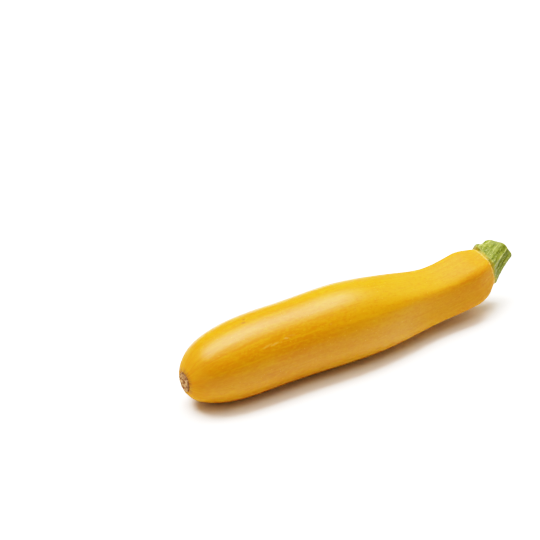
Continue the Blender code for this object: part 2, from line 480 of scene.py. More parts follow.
@dataclass(frozen=True)
class StemForm:
    """The stem's form in millimetres, the same as its solid's."""

    places: Row = (0.0, 0.2, 0.4, 0.6, 0.8, 1.0)
    radii: Row = (10.8, 10.9, 9.7, 9.0, 8.8, 8.7)
    reach: Triple = (16.6, 5.3, 5.9)
    bend: float = 6.7
    cut_normal: Triple = (0.78, 0.41, 0.47)
    turn_start: float = 0.1
    seat_depth: float = 0.7
    ribs: int = 5
    rib_angle_at_root: float = math.radians(38)
    rib_angle_at_cut: float = math.radians(57)
    rib_depth: float = 0.16
    fine_rib_height: float = 0.035
    ribs_full_at: float = 0.35
    foot_start: float = 0.07
    foot: Swell = Swell(0.075, 0.18, 0.24)
    flare: Swell = Swell(0.36, 0.49, 0.30)
    flare_angle: float = math.radians(144)
    flare_narrowness: float = 1.5

    def line(self, s: Array, fruit: FruitForm) -> tuple[Array, Array]:
        """The stem's bent line.

        Args:
            s: Places along the stem, 0 at its root and 1 at the cut.
            fruit: The fruit's form, which carries it.

        Returns:
            The middles, and directions that turn from the seat's to the cut's.
        """
        seat, out = fruit.spot(fruit.length)
        root = seat - self.seat_depth * out
        bend, tip = root + self.bend * out, root + np.array(self.reach)
        t = s[:, None]
        middles = (1.0 - t) ** 2 * root + 2.0 * t * (1.0 - t) * bend + t**2 * tip
        turn = rise(t, self.turn_start)
        return middles, unit(out * (1.0 - turn) + unit(np.array(self.cut_normal)) * turn)

    def rib_angles(self, s: Array, angles: Array) -> Array:
        """Angles round the stem counted from the first rib, by place and angle."""
        first = self.rib_angle_at_root + (self.rib_angle_at_cut - self.rib_angle_at_root) * smooth_step(s)
        return angles[None] - first[:, None]

    def radius(self, s: Array, angles: Array) -> Array:
        """The radius with its ribs, their feet and the flare at one side.

        Args:
            s: Places along the stem.
            angles: Angles round it.

        Returns:
            The radius by place and angle.
        """
        body, t = Spline(self.places, self.radii)(s)[:, None], s[:, None]
        turned = self.rib_angles(s, angles)
        crest = wave(self.ribs * turned)
        fine = self.fine_rib_height * wave(2 * self.ribs * turned)
        furrow = rise(t, 0.0, self.ribs_full_at) * (1.0 - crest) * (fine - self.rib_depth)
        side = wave(angles - self.flare_angle, self.flare_narrowness)[None]
        clear = rise(t, self.foot_start, self.foot.place)
        return body * (1.0 + furrow + clear * (self.foot(t) * crest + self.flare(t) * side))


@dataclass(frozen=True)
class StemRelief:
    """The fine ribs, fibres and knobs of the stem's skin, in millimetres of lift."""

    bare_root: Span = (0.06, 0.12)
    grown_at: float = 0.3
    veins: Waves = ((20, 0.12, 2.0), (35, 0.05, 2.0))
    vein_middle: float = 0.4
    fibre: float = 0.22
    fibres: Pattern = Pattern(7.0, 1.3, 5.3)
    pit: float = 0.20
    pits: Pattern = Pattern(1.5, 0.9, 17.9)
    uneven: Pattern = Pattern(4.0, 2.0, 31.4)
    uneven_middle: float = 0.6
    uneven_range: float = 1.3
    uneven_most: float = 1.6
    crest: float = 0.39
    fine_crest: float = 0.12
    crest_sharpness: float = 72.0
    crest_turn: float = 0.14
    crest_drift: float = 0.20
    groove: float = 0.24
    groove_place: float = 0.27
    groove_sharpness: float = 16.0
    knob: Swell = Swell(0.26, 0.15, 0.05)
    knobs: Pattern = Pattern(4.0, 3.5, 61.0)
    knob_middle: float = 0.5
    knob_range: float = 0.8
    knob_sharpness: float = 3.0
    worn_start: float = 0.86
    worn_share: float = 0.6

    def lift(self, form: StemForm, s: Array, angles: Array, grain: Array) -> Array:
        """The lift over the stem's side.

        Args:
            form: The stem's form.
            s: Places along the stem.
            angles: Angles round it.
            grain: The straightened stem's points, by place and angle.

        Returns:
            The lift by place and angle, in millimetres.
        """
        turned, t = form.rib_angles(s, angles), s[:, None]
        grown = rise(t, 0.0, self.grown_at)
        lift = self.fibre * self.fibres.on(grain) + self.pit * self.pits.on(grain)
        uneven = np.clip(self.uneven_middle + self.uneven_range * self.uneven.on(grain), 0.0, self.uneven_most)
        drifted = form.ribs * (turned + self.crest_turn + self.crest_drift * smooth_step(t))
        crest = self.crest * wave(drifted, self.crest_sharpness)
        crest = crest + self.fine_crest * wave(2 * drifted, self.crest_sharpness / 2)
        lift = lift + grown * crest * (0.5 + 0.5 * uneven)
        lift = lift - self.groove * grown * wave(drifted - form.ribs * self.groove_place, self.groove_sharpness)
        for count, height, sharpness in self.veins:
            lift = lift + height * grown * uneven * (wave(count * turned, sharpness) - self.vein_middle)
        knobs = self.knob(t) * wave(2 * form.ribs * turned, self.knob_sharpness)
        lift = lift + knobs * (self.knob_middle + self.knob_range * self.knobs.on(grain))
        return lift * (1.0 - self.worn_share * rise(t, self.worn_start)) * rise(t, *self.bare_root)


def add_body(name: str, data: bpy.types.ID) -> Body:
    """Puts a new object in the scene.

    Args:
        name: The object's name.
        data: Its mesh, light or camera.

    Returns:
        The new object.
    """
    body = bpy.data.objects.new(name, data)
    bpy.context.scene.collection.objects.link(body)
    return body


def band(low: int, high: int, sides: int) -> Faces:
    """The faces between two rings, by the numbers of their first points."""
    return [(high + i, high + j, low + j, low + i) for i in range(sides) for j in ((i + 1) % sides,)]


def fan(tip: int, ring: int, sides: int) -> Faces:
    """The faces from a point to a ring round it, by the numbers of both."""
    return [(tip, ring + i, ring + (i + 1) % sides) for i in range(sides)]


def smooth_body(name: str, points: Array, faces: Faces, grain: Array, lift: Optional[Array] = None) -> Body:
    """A smooth body with what its finish follows.

    Args:
        name: The piece's name.
        points: Its points, in millimetres from the blossom end.
        faces: Its faces, by the numbers of their points.
        grain: The same points on the straightened piece.
        lift: The relief at each point.

    Returns:
        The new object, in metres at the part's own origin.
    """
    mesh = bpy.data.meshes.new(name)
    mesh.from_pydata(((points - ORIGIN) * MM).tolist(), [], faces)
    grains = mesh.attributes.new(GRAIN, "FLOAT_VECTOR", "POINT")
    grains.data.foreach_set("vector", grain.astype(np.float32).ravel())
    if lift is not None:
        lifts = mesh.attributes.new(LIFT, "FLOAT", "POINT")
        lifts.data.foreach_set("value", lift.astype(np.float32))
    mesh.shade_smooth()
    return add_body(name, mesh)


def mesh_over_rings(name: str, rings: Array, grain: Array, lift: Optional[Array] = None) -> Body:
    """One closed smooth body over rings of points, closed at both ends.

    Args:
        name: The piece's name.
        rings: The points by ring, angle and axis, in millimetres from the blossom end.
        grain: The same points on the straightened piece.
        lift: The relief by ring and angle.

    Returns:
        The new object, in metres at the part's own origin.
    """

    def with_ends(values: Array) -> Array:
        """Values in one row of points, with the means of the first and the last ring after them."""
        flat = values.reshape(-1, *values.shape[2:])
        return np.concatenate([flat, values[:1].mean(axis=1), values[-1:].mean(axis=1)])

    count, sides = rings.shape[:2]
    faces = [face for ring in range(count - 1) for face in band(ring * sides, (ring + 1) * sides, sides)]
    faces += fan(count * sides, 0, sides)
    faces += [face[::-1] for face in fan(count * sides + 1, (count - 1) * sides, sides)]
    lifts = None if lift is None else with_ends(lift)
    return smooth_body(name, with_ends(rings), faces, with_ends(grain), lifts)


def operator(operation: str, turned: bool = False) -> Callable[["Wire", Plug], "Wire"]:
    """An operator of Wire, which adds a Math or Vector Math node.

    Args:
        operation: The node's operation.
        turned: Whether the wire stands on the operator's right.

    Returns:
        The operator's method.
    """

    def apply(wire: "Wire", other: Plug) -> "Wire":
        """Adds the node for the wire and the other value."""
        return wire.maths(operation, other, wire) if turned else wire.maths(operation, wire, other)

    return apply


class Wire:
    """A socket of a material's tree, so that shader maths is written as an expression."""

    __add__, __radd__ = operator("ADD"), operator("ADD", True)
    __sub__, __rsub__ = operator("SUBTRACT"), operator("SUBTRACT", True)
    __mul__, __rmul__ = operator("MULTIPLY"), operator("MULTIPLY", True)
    __truediv__, __rtruediv__ = operator("DIVIDE"), operator("DIVIDE", True)
    most = operator("MAXIMUM")

    def __init__(self, tree: "FinishTree", socket: bpy.types.NodeSocket) -> None:
        """Wraps a socket of a tree."""
        self.tree = tree
        self.socket = socket

    def maths(self, operation: str, first: Plug, second: Plug) -> "Wire":
        """A Math or Vector Math node on two values, by what this socket carries."""
        kind = "ShaderNodeVectorMath" if self.socket.type == "VECTOR" else "ShaderNodeMath"
        return self.tree.node(kind, {"operation": operation}, {0: first, 1: second})

    def step(self, low: float, high: float, share: float = 1.0) -> "Wire":
        """An even S over the value.

        Args:
            low: Where it is 0, which may be above high.
            high: Where it is full.
            share: How much it is where it is full.

        Returns:
            The S as a wire.
        """
        ends = (low, high, 0.0, share) if low < high else (high, low, share, 0.0)
        sockets = {0: self, **dict(enumerate(ends, 1))}
        return self.tree.node("ShaderNodeMapRange", {"interpolation_type": "SMOOTHSTEP"}, sockets)

    def cosine(self) -> "Wire":
        """The cosine of the value, in radians."""
        return self.tree.node("ShaderNodeMath", {"operation": "COSINE"}, {0: self})

    def part(self, axis: str) -> "Wire":
        """One part of a vector, by the name of its axis."""
        return self.tree.node("ShaderNodeSeparateXYZ", {}, {0: self}, axis)


class FinishTree:
    """The node tree of one material: a Principled shader, and one method that makes any other node."""

    def __init__(self, name: str) -> None:
        """Starts a material.

        Args:
            name: The material's name.
        """
        self.material = bpy.data.materials.new(name)
        self.material.use_nodes = True
        self.nodes = self.material.node_tree.nodes
        self.links = self.material.node_tree.links
        self.shader = self.nodes["Principled BSDF"]

    def plug(self, target: bpy.types.NodeSocket, value: Plug) -> None:
        """Links a wire to a socket, or sets the socket's own value.

        Args:
            target: The socket.
            value: A wire, a number, a colour or a vector.
        """
        if isinstance(value, Wire):
            self.links.new(value.socket, target)
        elif target.type == "RGBA":
            target.default_value = (*value, 1.0)
        else:
            target.default_value = value

    def node(self, kind: str, settings: dict[str, str], sockets: dict[Key, Plug], output: Key = 0) -> Wire:
        """Makes a node.

        Args:
            kind: The node's type.
            settings: Its settings, which are set first.
            sockets: Values or wires for its input sockets, by number or name.
            output: Which output is used.

        Returns:
            The output as a wire.
        """
        made = self.nodes.new(kind)
        for key, value in settings.items():
            setattr(made, key, value)
        for key, value in sockets.items():
            self.plug(made.inputs[key], value)
        return Wire(self, made.outputs[output])

    @cached_property
    def grain(self) -> Wire:
        """The straightened piece's points, in millimetres."""
        return self.node("ShaderNodeAttribute", {"attribute_name": GRAIN}, {}, "Vector")

    @cached_property
    def lift(self) -> Wire:
        """The relief's height, in millimetres."""
        return self.node("ShaderNodeAttribute", {"attribute_name": LIFT}, {}, "Fac")

    def scaled(self, pattern: Pattern, where: Optional[Wire] = None) -> Wire:
        """The points of a pattern, in its own sizes: the grain's, or others."""
        return (where or self.grain) / pattern.sizes + (pattern.place,) * 3

    def noise(self, pattern: Pattern, where: Optional[Wire] = None) -> Wire:
        """A pattern's noise between 0 and 1, over the grain or other points."""
        sockets = {"Vector": self.scaled(pattern, where), "Scale": 1.0, "Detail": pattern.layers}
        return self.node("ShaderNodeTexNoise", {}, sockets)

    def dots(self, pattern: Pattern, edge: Span, chosen: Span) -> Wire:
        """Scattered dots, 1 inside them.

        Args:
            pattern: Their spacing.
            edge: How far from a dot's middle it starts and is full.
            chosen: The chance, different for each dot, at which it starts to show and is full.

        Returns:
            The mask of the dots.
        """
        sockets = {"Vector": self.scaled(pattern), "Scale": 1.0, "Randomness": 1.0}
        distance = self.node("ShaderNodeTexVoronoi", {}, sockets, "Distance")
        colour = Wire(self, distance.socket.node.outputs["Color"])
        chance = self.node("ShaderNodeSeparateColor", {}, {0: colour})
        return distance.step(*edge) * chance.step(*chosen)

    def lay(self, base: Plug, layers: Iterable[tuple[Wire, Plug]]) -> Wire:
        """Lays colours over a base, one after another.

        Args:
            base: The colour below them all.
            layers: A mask, which says how strongly it shows, and a colour for each.

        Returns:
            The mixed colour.
        """
        for mask, colour in layers:
            sockets = {"Factor": mask, MIX_UNDER: base, MIX_OVER: colour}
            base = self.node("ShaderNodeMix", {"data_type": "RGBA"}, sockets, MIX_RESULT)
        return base

    def blend(self, parts: Iterable[tuple[Wire, float]]) -> Wire:
        """The sum of wires, each times its own share."""
        return reduce(Wire.__add__, (wire * share for wire, share in parts))

    def bump(self, parts: Iterable[tuple[Wire, float]], distance: float) -> Wire:
        """A bumped normal from a height that is a sum of wires and shares, with its distance in metres."""
        return self.node("ShaderNodeBump", {}, {"Distance": distance, "Height": self.blend(parts)}, "Normal")

    def finish(self, **sockets: Plug) -> Material:
        """Plugs the shader's sockets.

        Args:
            sockets: Values or wires by the sockets' names, with _ for each space.

        Returns:
            The material.
        """
        for key, value in sockets.items():
            self.plug(self.shader.inputs[key.replace("_", " ")], value)
        return self.material


@dataclass(frozen=True)
class Glow:
    """How light goes into a piece: its refraction, and how strongly it glows from inside.

    The depth is in metres, and the reach is the share of it that each colour has.
    """

    refraction: float
    strength: float
    depth: float
    reach: Triple

    def sockets(self) -> dict[str, Plug]:
        """The shader's sockets that it sets."""
        inside = {"Weight": self.strength, "Scale": self.depth, "Radius": self.reach}
        return {"IOR": self.refraction, **{f"Subsurface_{key}": value for key, value in inside.items()}}


@dataclass(frozen=True)
class SkinFinish:
    """Golden yellow squash skin: lengthwise streaks, pale pores, healed scratches, painted shade in the creases
    round the nose and a soft waxy shine.

    Its relief holds the shares of its peel, threads, pores and mottle in the bump.
    """

    golden: Colour = (0.392, 0.175, 0.005)
    deep: Colour = (0.354, 0.135, 0.003)
    light: Colour = (0.422, 0.220, 0.009)
    pore: Colour = (0.500, 0.285, 0.045)
    tan: Colour = (0.480, 0.285, 0.120)
    brown: Colour = (0.210, 0.090, 0.018)
    # the skin's own streaks near the nose, and painted shade in the pucker's creases
    amber_and_crease_shade: Colour = (0.400, 0.125, 0.004)
    dry: Colour = (0.560, 0.330, 0.120)
    patches: Pattern = Pattern(38.0, 12.0, 2.1)
    streaks: Pattern = Pattern(42.0, 1.5, 9.4, 3.0)
    threads: Pattern = Pattern(16.0, 0.55, 14.8)
    mottle: Pattern = Pattern(2.4, 1.1, 61.0)
    pores: Pattern = Pattern(2.3, 1.7, 3.3)
    creases: Pattern = Pattern(9.0, 1.7, 27.7)
    scar_crumbs: Pattern = Pattern(3.0, 2.5, 40.0)
    seat_crumbs: Pattern = Pattern(1.5, 2.2, 5.5)
    frayed: Pattern = Pattern(0.9, 0.6, 7.7)
    cloud: Pattern = Pattern(14.0, 5.0, 21.0, 3.0)
    peel: Pattern = Pattern(1.1, 0.8, 33.0, 3.0)
    pore_edge: Span = (0.20, 0.08)
    pore_chance: Span = (0.45, 0.75)
    fraying: float = 1.1
    mark_edge: Span = (1.25, 0.35)
    belly: tuple[Span, Span] = ((55.0, 105.0), (185.0, 135.0))
    hollow_end: Span = (30.0, 12.0)
    crease_end: Span = (12.0, 0.5)
    scar_rim: Span = (1.1, 0.1)
    seat_rim: Span = (1.8, 0.3)
    neck: Span = (118.0, 150.0)
    nose: Span = (11.0, 1.0)
    patch_deep: Step = (0.35, 0.70, 0.55)
    belly_share: float = 0.38
    streak_light: Step = (0.52, 0.72, 0.50)
    streak_deep: Step = (0.46, 0.30, 0.45)
    thread_light: Step = (0.58, 0.75, 0.35)
    mottle_light: Step = (0.50, 0.70, 0.50)
    mottle_deep: Step = (0.50, 0.30, 0.50)
    pore_share: float = 0.55
    pucker_painted_shade: Step = (-0.05, -0.40, 0.35)
    crease_light: Step = (0.50, 0.68, 0.40)
    crease_amber: Step = (0.45, 0.32, 0.35)
    crumb_brown: Step = (0.40, 0.60, 0.80)
    crumb_dry: Step = (0.30, 0.65, 0.70)
    scratch_share: float = 0.5
    scab_share: float = 0.8
    shine: float = 0.34
    cloud_dullness: float = 0.14
    pore_dullness: float = 0.1
    neck_dullness: float = 0.30
    nose_dullness: float = 0.38
    mark_dullness: float = 0.25
    glow: Glow = Glow(1.33, 0.45, 0.008, (1.0, 0.35, 0.05))
    relief: Row = (0.6, 0.4, 0.5, 0.5)
    bump: float = 0.00009

    def mark_mask(self, tree: FinishTree, marks: Sequence[Blemish], form: FruitForm) -> Wire:
        """Where the marks are, with frayed edges.

        Args:
            tree: The skin's tree.
            marks: The marks.
            form: The fruit's form.

        Returns:
            The mask, 0 on plain skin and up to 1 in a mark.
        """
        ragged = (tree.noise(self.frayed) - 0.5) * self.fraying
        masks: list[Wire] = []
        for mark in marks:
            frame = mark.frame(form.grain_radius)
            sockets = {0: tree.grain, 1: frame.to_translation(), 2: frame.to_euler(), 3: mark.sizes()}
            local = tree.node("ShaderNodeMapping", {"vector_type": "TEXTURE"}, sockets)
            far = tree.node("ShaderNodeVectorMath", {"operation": "LENGTH"}, {0: local}, "Value")
            masks.append((far + ragged).step(*self.mark_edge, mark.strength))
        return reduce(Wire.most, masks)

    def make(self, form: FruitForm) -> Material:
        """Makes the skin's material.

        Args:
            form: The fruit's form, on which the places of the colours rest.

        Returns:
            The material.
        """
        tree = FinishTree("zucchini_skin")
        along = tree.grain.part("X")
        streaks, threads, mottle = (tree.noise(kind) for kind in (self.streaks, self.threads, self.mottle))
        pores = tree.dots(self.pores, self.pore_edge, self.pore_chance)
        nose, creases = along.step(*self.crease_end), tree.noise(self.creases)
        seat = along.step(*(form.length - place for place in self.seat_rim))
        scratches, scabs = self.mark_mask(tree, SCRATCHES, form), self.mark_mask(tree, SCABS, form)
        colour = tree.lay(self.golden, (
            (tree.noise(self.patches).step(*self.patch_deep), self.deep),
            (along.step(*self.belly[0]) * along.step(*self.belly[1], self.belly_share), self.light),
            (streaks.step(*self.streak_light), self.light),
            (streaks.step(*self.streak_deep), self.deep),
            (threads.step(*self.thread_light), self.light),
            (mottle.step(*self.mottle_light), self.light),
            (mottle.step(*self.mottle_deep), self.deep),
            (pores * self.pore_share, self.pore),
            # painted shade: an orange tone darkens the pucker's creases round the nose, where the lift is low
            (along.step(*self.hollow_end) * tree.lift.step(*self.pucker_painted_shade), self.amber_and_crease_shade),
            (nose * creases.step(*self.crease_light), self.light),
            (nose * creases.step(*self.crease_amber), self.amber_and_crease_shade),
            (along.step(*self.scar_rim) * tree.noise(self.scar_crumbs).step(*self.crumb_brown), self.brown),
            (seat * tree.noise(self.seat_crumbs).step(*self.crumb_dry), self.dry),
            (scratches * self.scratch_share, self.tan),
            (scabs * self.scab_share, self.brown),
        ))
        rough = self.shine + (tree.noise(self.cloud) - 0.5) * self.cloud_dullness + pores * self.pore_dullness
        rough = rough + scratches.most(scabs) * self.mark_dullness + along.step(*self.neck, self.neck_dullness)
        rough = rough + along.step(*self.nose, self.nose_dullness)
        normal = tree.bump(zip((tree.noise(self.peel), threads, pores, mottle), self.relief), self.bump)
        return tree.finish(Base_Color=colour, Roughness=rough, Normal=normal, **self.glow.sockets())


@dataclass(frozen=True)
class StemFinish:
    """Green stalk: darker patches, painted shade in its furrows, hollows and root, pale ribs and veins with a
    partly painted highlight on the crests, and a dried cut face.

    Its ribbing holds the shares of its veins, fibres and lift in the pale ribs, and its relief those of its
    fibres, specks and peel in the bump.
    """

    green: Colour = (0.154, 0.180, 0.028)
    # the stalk's own darker patches, and painted shade in its furrows
    olive_and_furrow_shade: Colour = (0.086, 0.112, 0.008)
    # the dark green here is painted shade, in the hollows and at the root
    deep: Colour = (0.036, 0.052, 0.002)
    pale: Colour = (0.285, 0.300, 0.085)
    # the specks' own colour, and a partly painted highlight on the crests and knobs
    cream_and_highlight: Colour = (0.440, 0.430, 0.175)
    blush: Colour = (0.330, 0.215, 0.012)
    dry: Colour = (0.250, 0.180, 0.075)
    flesh: Colour = (0.340, 0.360, 0.160)
    fibres: Pattern = Pattern(7.0, 0.6, 4.4, 3.0)
    patches: Pattern = Pattern(5.0, 3.0, 8.8)
    specks: Pattern = Pattern(1.2, 0.8, 6.1)
    shade: Pattern = Pattern(6.0, 3.5, 52.0)
    pulp: Pattern = Pattern(0.5, 0.5, 12.5, 3.0)
    peel: Pattern = Pattern(0.6, 0.4, 25.0)
    shade_edge: Span = (0.36, 0.60)
    speck_edge: Span = (0.32, 0.14)
    speck_chance: Span = (0.45, 0.65)
    vein_count: float = 35.0
    vein_start: float = 0.8
    pale_root: Span = (5.0, 1.2)
    blush_root: Span = (4.4, 1.4)
    root_painted_shade: Span = (2.2, 0.9)
    dry_rim: Span = (-0.9, -0.1)
    cut_edge: Span = (0.05, 0.35)
    patch_olive: Step = (0.35, 0.65, 0.60)
    furrow_painted_shade: Step = (0.1, -0.9, 0.45)
    hollow_painted_shade: Step = (0.02, -0.26, 0.50)
    ribbing: Triple = (0.12, 1.4, 1.3)
    rib_pale: Step = (0.80, 1.25, 0.65)
    crest_pale_and_highlight: Step = (0.30, 0.60, 0.35)
    speck_share: float = 0.42
    patch_pale: Step = (0.30, 0.60, 0.60)
    blush_share: float = 0.75
    blush_shade: float = 0.4
    root_shade_share: float = 0.80
    fibre_dry: Step = (0.40, 0.60, 0.70)
    pulp_dry: Span = (0.35, 0.70)
    roughness: float = 0.55
    fibre_dullness: float = 0.2
    cut_dullness: float = 0.2
    glow: Glow = Glow(1.35, 0.06, 0.002, (0.5, 1.0, 0.2))
    relief: Row = (0.6, 0.7, 0.5)
    bump: float = 0.00016

    def make(self, stem: StemForm, length: float) -> Material:
        """Makes the stalk's material.

        Args:
            stem: The stem's form.
            length: The straightened stem's length, beyond which the grain's X is on the cut.

        Returns:
            The material.
        """
        tree = FinishTree("zucchini_stalk")
        along, across, up = (tree.grain.part(axis) for axis in "XYZ")
        turn = tree.node("ShaderNodeMath", {"operation": "ARCTAN2"}, {0: up, 1: across})
        veins = (turn * self.vein_count + self.vein_start).cosine()
        fibres, patches = tree.noise(self.fibres), tree.noise(self.patches)
        shade = tree.noise(self.shade).step(*self.shade_edge)
        specks = tree.dots(self.specks, self.speck_edge, self.speck_chance)
        rim, on_cut = (along.step(*(length + place for place in edge)) for edge in (self.dry_rim, self.cut_edge))
        cut_face = tree.lay(self.flesh, [(tree.noise(self.pulp).step(*self.pulp_dry), self.dry)])
        colour = tree.lay(self.green, (
            (patches.step(*self.patch_olive), self.olive_and_furrow_shade),
            # painted shade: a darker green darkens the five furrows between the ribs
            ((turn * float(stem.ribs)).cosine().step(*self.furrow_painted_shade), self.olive_and_furrow_shade),
            # painted shade: the dark green darkens the hollows, where the lift is low
            (tree.lift.step(*self.hollow_painted_shade), self.deep),
            (tree.blend(zip((veins, fibres, tree.lift), self.ribbing)).step(*self.rib_pale), self.pale),
            # pale on the crests and knobs: partly their own pale colour, partly painted highlight
            (tree.lift.step(*self.crest_pale_and_highlight), self.cream_and_highlight),
            (specks * self.speck_share, self.cream_and_highlight),
            (along.step(*self.pale_root) * patches.step(*self.patch_pale), self.pale),
            (along.step(*self.blush_root) * (self.blush_share - shade * self.blush_shade), self.blush),
            # painted shade: the dark green darkens the root in patches, where it sinks into the fruit's seat
            (along.step(*self.root_painted_shade, self.root_shade_share) * shade, self.deep),
            (rim * (1.0 - on_cut) * fibres.step(*self.fibre_dry), self.dry),
            (on_cut, cut_face),
        ))
        rough = self.roughness + (fibres - 0.5) * self.fibre_dullness + on_cut * self.cut_dullness
        normal = tree.bump(zip((fibres, specks, tree.noise(self.peel)), self.relief), self.bump)
        return tree.finish(Base_Color=colour, Roughness=rough, Normal=normal, **self.glow.sockets())


@dataclass(frozen=True)
class HairFinish:
    """Short stiff plant hairs, pale green at the root and almost white at the tip."""

    root: Colour = (0.420, 0.470, 0.220)
    tip: Colour = (0.720, 0.720, 0.560)
    tint: Pattern = Pattern(0.8, 0.8, 3.0, 1.0)
    tip_reach: Span = (0.0, 0.6)
    least_pale: float = 0.7
    roughness: float = 0.5
    tint_dullness: float = 0.2

    def make(self) -> Material:
        """Makes the hairs' material, whose grain has the distance from a hair's root as X.

        Returns:
            The material.
        """
        tree = FinishTree("zucchini_hairs")
        tint, from_root = tree.noise(self.tint), tree.grain.part("X")
        tips = from_root.step(*self.tip_reach) * (self.least_pale + tint * (1.0 - self.least_pale))
        colour = tree.lay(self.root, [(tips, self.tip)])
        return tree.finish(Base_Color=colour, Roughness=self.roughness + tint * self.tint_dullness)


@dataclass(frozen=True)
class ScarFinish:
    """Dry cork where the flower fell off: tan knobs with a partly painted highlight, dark cracks, a few reddish
    spots, and painted shade in its hollows and along its front and upper edges.

    Its knobs hold the shares of its lift and crumbs in the pale colour, its hollows those of its lift and
    patches in the painted shade, and its relief those of its crumbs, patches and cracks in the bump.
    """

    cork: Colour = (0.275, 0.140, 0.052)
    # the pale colour is partly the cork's own paler knobs, partly painted highlight on them
    pale: Colour = (0.440, 0.265, 0.125)
    # the dark colour is the cracks' own, and painted shade in the hollows and along the front and upper edges
    crease: Colour = (0.085, 0.034, 0.009)
    rust: Colour = (0.235, 0.062, 0.024)
    patches: Pattern = Pattern(1.3, 1.3, 2.2, 3.0)
    crumbs: Pattern = Pattern(0.45, 0.45, 6.6, 3.0)
    spots: Pattern = Pattern(0.9, 0.9, 15.3, 1.0)
    weave: Pattern = Pattern(3.0, 1.5, 51.0)
    frayed: Pattern = Pattern(2.2, 2.2, 31.0)
    fraying: float = 6.0
    crack_edge: Span = (0.0012, 0.0002)
    front: Span = (-3.0, -4.6)
    above: Span = (3.6, 5.0)
    knobs: Span = (1.6, 0.6)
    knob_pale_and_highlight: Span = (0.45, 1.00)
    hollows: Span = (1.6, 0.5)
    scar_hollow_painted_shade: Step = (0.25, -0.20, 0.85)
    spot_rust: Step = (0.62, 0.72, 0.60)
    crack_share: float = 0.80
    rim_share: float = 0.65
    roughness: float = 0.78
    crumb_dullness: float = 0.2
    relief: Row = (0.7, 0.5, -0.8)
    bump: float = 0.0002

    def make(self) -> Material:
        """Makes the scar's material, whose grain is the scar's own plane with its lift as X.

        Returns:
            The material.
        """
        tree = FinishTree("zucchini_scar")
        lift, across, up = (tree.grain.part(axis) for axis in "XYZ")
        patches, crumbs, weave = (tree.noise(kind) for kind in (self.patches, self.crumbs, self.weave))
        cracks = ((weave - 0.5) * (weave - 0.5)).step(*self.crack_edge)
        ragged = (tree.noise(self.frayed) - 0.5) * self.fraying
        # painted shade: the dark colour falls only on the scar's front and upper edges
        rim = (across + ragged).step(*self.front).most((up + ragged).step(*self.above))
        colour = tree.lay(self.cork, (
            # pale on the knobs: partly the cork's own paler knobs, partly painted highlight
            (tree.blend(zip((lift, crumbs), self.knobs)).step(*self.knob_pale_and_highlight), self.pale),
            # painted shade: the dark colour darkens the scar's hollows, where the lift is low
            (tree.blend(zip((lift, patches), self.hollows)).step(*self.scar_hollow_painted_shade), self.crease),
            (tree.noise(self.spots).step(*self.spot_rust), self.rust),
            (cracks * self.crack_share, self.crease),
            # painted shade on the scar's front and upper edges
            (rim * self.rim_share, self.crease),
        ))
        rough = self.roughness + (crumbs - 0.5) * self.crumb_dullness
        normal = tree.bump(zip((crumbs, patches, cracks), self.relief), self.bump)
        return tree.finish(Base_Color=colour, Roughness=rough, Normal=normal)


@dataclass(frozen=True)
class GroundFinish:
    """Smooth white card, very slightly uneven."""

    white: Colour = (0.90, 0.90, 0.90)
    shade: Colour = (0.885, 0.885, 0.882)
    cloud: Pattern = Pattern(0.4, 0.4, 0.0, 3.0)
    roughness: float = 0.8
    cloud_dullness: float = 0.1

    def make(self) -> Material:
        """Makes the ground's material, whose pattern is in metres.

        Returns:
            The material.
        """
        tree = FinishTree("pale_ground")
        cloud = tree.noise(self.cloud, tree.node("ShaderNodeTexCoord", {}, {}, "Object"))
        rough = self.roughness + cloud * self.cloud_dullness
        return tree.finish(Base_Color=tree.lay(self.white, [(cloud, self.shade)]), Roughness=rough)


@dataclass
class Piece:
    """A visible piece of the zucchini, with its names in the frame."""

    name: str
    slot: str
    node: Optional[str] = None

    def settle(self, body: Body, material: Material) -> None:
        """Gives a made body its material and its place in the frame.

        Args:
            body: The piece's object.
            material: What it is dressed in.
        """
        body.data.materials.append(material)
        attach(body, BODY)
        if self.node:
            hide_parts(self.node)
        log.info("%s: %d faces", self.name, len(body.data.polygons))


